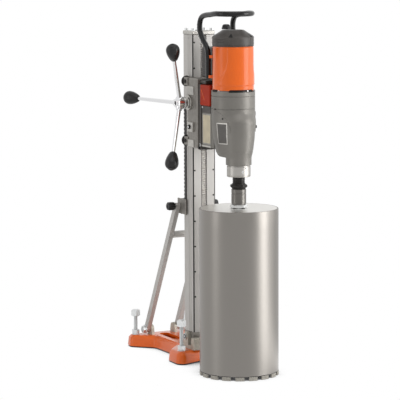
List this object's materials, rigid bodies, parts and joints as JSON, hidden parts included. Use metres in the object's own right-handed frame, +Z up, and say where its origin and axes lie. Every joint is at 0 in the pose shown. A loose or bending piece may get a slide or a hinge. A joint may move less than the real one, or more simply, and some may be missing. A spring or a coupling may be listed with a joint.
{
  "type": "core drill rig",
  "caption": "Stand-mounted core drill: tilting column on a cast base with braces, crank-fed carriage, electric drill motor and a wide diamond core bit.",
  "frame": {"origin": "on the floor, under the middle of the column, on the underside of the base plate", "axes": "+Z up along the column, -Y towards the bit, +Y towards the braces, -X towards the crank"},
  "size_m": [0.2819, 0.6332, 1.0065],
  "materials": {
    "orange_paint": "semi-gloss powder coat",
    "grey_painted_casting": "satin paint on cast aluminium",
    "bare_aluminium_casting": "cast, blasted",
    "anodised_aluminium": "natural anodised",
    "zinc_plated_steel": "bright zinc",
    "machined_steel": "turned and ground",
    "satin_steel": "satin, brushed round the tube",
    "chromed_steel": "bright chrome",
    "black_plastic": "moulded, fine grain",
    "dark_grey_plastic": "moulded, fine grain",
    "blackened_steel": "blackened",
    "black_coated_steel": "black powder coat",
    "copper_winding": "enamelled copper and lamination steel"
  },
  "bodies": {
    "root": {"base_plate": "orange_paint", "column_foot": "grey_painted_casting", "tilt_pin": "zinc_plated_steel", "lock_nut_front_left": "zinc_plated_steel", "lock_nut_front_right": "zinc_plated_steel", "lock_nut_rear_left": "zinc_plated_steel", "lock_nut_rear_right": "zinc_plated_steel", "brace_pivot_bolt_left": "zinc_plated_steel", "brace_pivot_bolt_right": "zinc_plated_steel"},
    "column": {"column": "anodised_aluminium", "column_shoe": "bare_aluminium_casting", "top_plate": "bare_aluminium_casting", "top_bolt": "zinc_plated_steel", "feed_rack": "machined_steel", "brace_rail_left": "blackened_steel", "brace_rail_right": "blackened_steel"},
    "brace_slide": {"brace_slide": "bare_aluminium_casting"},
    "brace_frame": {"brace_leg_left": "anodised_aluminium", "brace_leg_right": "anodised_aluminium", "brace_crossbar": "anodised_aluminium"},
    "carriage": {"carriage_body": "bare_aluminium_casting", "shaft_bush": "bare_aluminium_casting", "mount_plate": "dark_grey_plastic", "mount_clamp": "dark_grey_plastic", "motor_bracket": "grey_painted_casting", "bracket_cover": "orange_paint", "gear_housing": "grey_painted_casting", "bearing_plate": "bare_aluminium_casting", "motor_cover": "orange_paint", "top_cap": "dark_grey_plastic", "cable_gland": "black_plastic", "electronics_housing": "dark_grey_plastic", "handle": "black_coated_steel", "water_collar": "anodised_aluminium", "stator": "copper_winding"},
    "crank": {"pinion_shaft": "machined_steel", "crank_hub": "chromed_steel", "crank_spoke_1": "chromed_steel", "crank_spoke_2": "chromed_steel", "crank_spoke_3": "chromed_steel", "crank_knob_1": "black_plastic", "crank_knob_2": "black_plastic", "crank_knob_3": "black_plastic"},
    "feed_lock": {"feed_lock": "black_plastic"},
    "spindle": {"spindle": "blackened_steel", "release_ring": "blackened_steel", "bit_hub": "machined_steel", "core_barrel": "satin_steel"},
    "layshaft": {"layshaft": "machined_steel"},
    "armature": {"armature": "copper_winding"},
    "brace_knob_left": {"brace_knob_left": "black_plastic"},
    "brace_knob_right": {"brace_knob_right": "black_plastic"},
    "screw_front_left": {"levelling_screw_front_left": "zinc_plated_steel"},
    "screw_front_right": {"levelling_screw_front_right": "zinc_plated_steel"},
    "screw_rear_left": {"levelling_screw_rear_left": "zinc_plated_steel"},
    "screw_rear_right": {"levelling_screw_rear_right": "zinc_plated_steel"},
    "roller_upper_left": {"roller_upper_left": "blackened_steel"},
    "roller_upper_right": {"roller_upper_right": "blackened_steel"},
    "roller_lower_left": {"roller_lower_left": "blackened_steel"},
    "roller_lower_right": {"roller_lower_right": "blackened_steel"}
  },
  "joints": [
    {"name": "column_tilt", "type": "hinge", "parent": "root", "child": "column", "pos_m": [0, 0.002, 0.07], "axis": [-1, 0, 0], "range_deg": [0, 45]},
    {"name": "brace_slide_travel", "type": "slide", "parent": "column", "child": "brace_slide", "axis": [0, 0, 1], "range_m": [0, 0.204]},
    {"name": "brace_fold", "type": "hinge", "parent": "root", "child": "brace_frame", "pos_m": [0, 0.245, 0.052], "axis": [-1, 0, 0], "range_deg": [0, 54]},
    {"name": "carriage_feed", "type": "slide", "parent": "column", "child": "carriage", "axis": [0, 0, 1], "range_m": [-0.45, 0.11]},
    {"name": "crank_turn", "type": "hinge", "parent": "carriage", "child": "crank", "pos_m": [0, -0.043, 0.7455], "axis": [1, 0, 0], "range_deg": [-421, 1720]},
    {"name": "feed_lock_press", "type": "slide", "parent": "carriage", "child": "feed_lock", "axis": [1, 0, 0], "range_m": [0, 0.006], "stiffness_N_per_m": 400, "springref_m": -0.003},
    {"name": "spindle_spin", "type": "hinge", "parent": "carriage", "child": "spindle", "pos_m": [0, -0.2351, 0.3], "axis": [0, 0, 1], "continuous": true},
    {"name": "layshaft_spin", "type": "hinge", "parent": "carriage", "child": "layshaft", "pos_m": [0.02169, -0.21437, 0.74], "axis": [0, 0, 1], "continuous": true},
    {"name": "armature_spin", "type": "hinge", "parent": "carriage", "child": "armature", "pos_m": [0, -0.2041, 0.85], "axis": [0, 0, 1], "continuous": true},
    {"name": "brace_knob_left_turn", "type": "hinge", "parent": "brace_frame", "child": "brace_knob_left", "pos_m": [-0.06, 0.045, 0.443], "axis": [-1, 0, 0], "range_deg": [0, 360]},
    {"name": "brace_knob_right_turn", "type": "hinge", "parent": "brace_frame", "child": "brace_knob_right", "pos_m": [0.06, 0.045, 0.443], "axis": [1, 0, 0], "range_deg": [0, 360]},
    {"name": "screw_front_left_travel", "type": "slide", "parent": "root", "child": "screw_front_left", "axis": [0, 0, -1], "range_m": [-0.012, 0.025]},
    {"name": "screw_front_right_travel", "type": "slide", "parent": "root", "child": "screw_front_right", "axis": [0, 0, -1], "range_m": [-0.012, 0.025]},
    {"name": "screw_rear_left_travel", "type": "slide", "parent": "root", "child": "screw_rear_left", "axis": [0, 0, -1], "range_m": [-0.012, 0.025]},
    {"name": "screw_rear_right_travel", "type": "slide", "parent": "root", "child": "screw_rear_right", "axis": [0, 0, -1], "range_m": [-0.012, 0.025]},
    {"name": "roller_upper_left_spin", "type": "hinge", "parent": "carriage", "child": "roller_upper_left", "pos_m": [-0.0475, -0.013, 0.8045], "axis": [0, 1, 0], "range_deg": [-1700, 1700]},
    {"name": "roller_upper_right_spin", "type": "hinge", "parent": "carriage", "child": "roller_upper_right", "pos_m": [0.0475, -0.013, 0.8045], "axis": [0, 1, 0], "range_deg": [-1700, 1700]},
    {"name": "roller_lower_left_spin", "type": "hinge", "parent": "carriage", "child": "roller_lower_left", "pos_m": [-0.0475, -0.013, 0.637], "axis": [0, 1, 0], "range_deg": [-1700, 1700]},
    {"name": "roller_lower_right_spin", "type": "hinge", "parent": "carriage", "child": "roller_lower_right", "pos_m": [0.0475, -0.013, 0.637], "axis": [0, 1, 0], "range_deg": [-1700, 1700]}
  ],
  "couplings": [
    {"joint": "brace_slide_travel", "follows": "column_tilt", "m_per_rad": 0.25699},
    {"joint": "brace_fold", "follows": "column_tilt", "ratio": 1.1842},
    {"joint": "crank_turn", "follows": "carriage_feed", "rad_per_m": -66.667},
    {"joint": "layshaft_spin", "follows": "spindle_spin", "ratio": -2.3333},
    {"joint": "armature_spin", "follows": "spindle_spin", "ratio": 7},
    {"joint": "roller_upper_left_spin", "follows": "carriage_feed", "rad_per_m": 64.516},
    {"joint": "roller_upper_right_spin", "follows": "carriage_feed", "rad_per_m": -64.516},
    {"joint": "roller_lower_left_spin", "follows": "carriage_feed", "rad_per_m": 64.516},
    {"joint": "roller_lower_right_spin", "follows": "carriage_feed", "rad_per_m": -64.516}
  ]
}
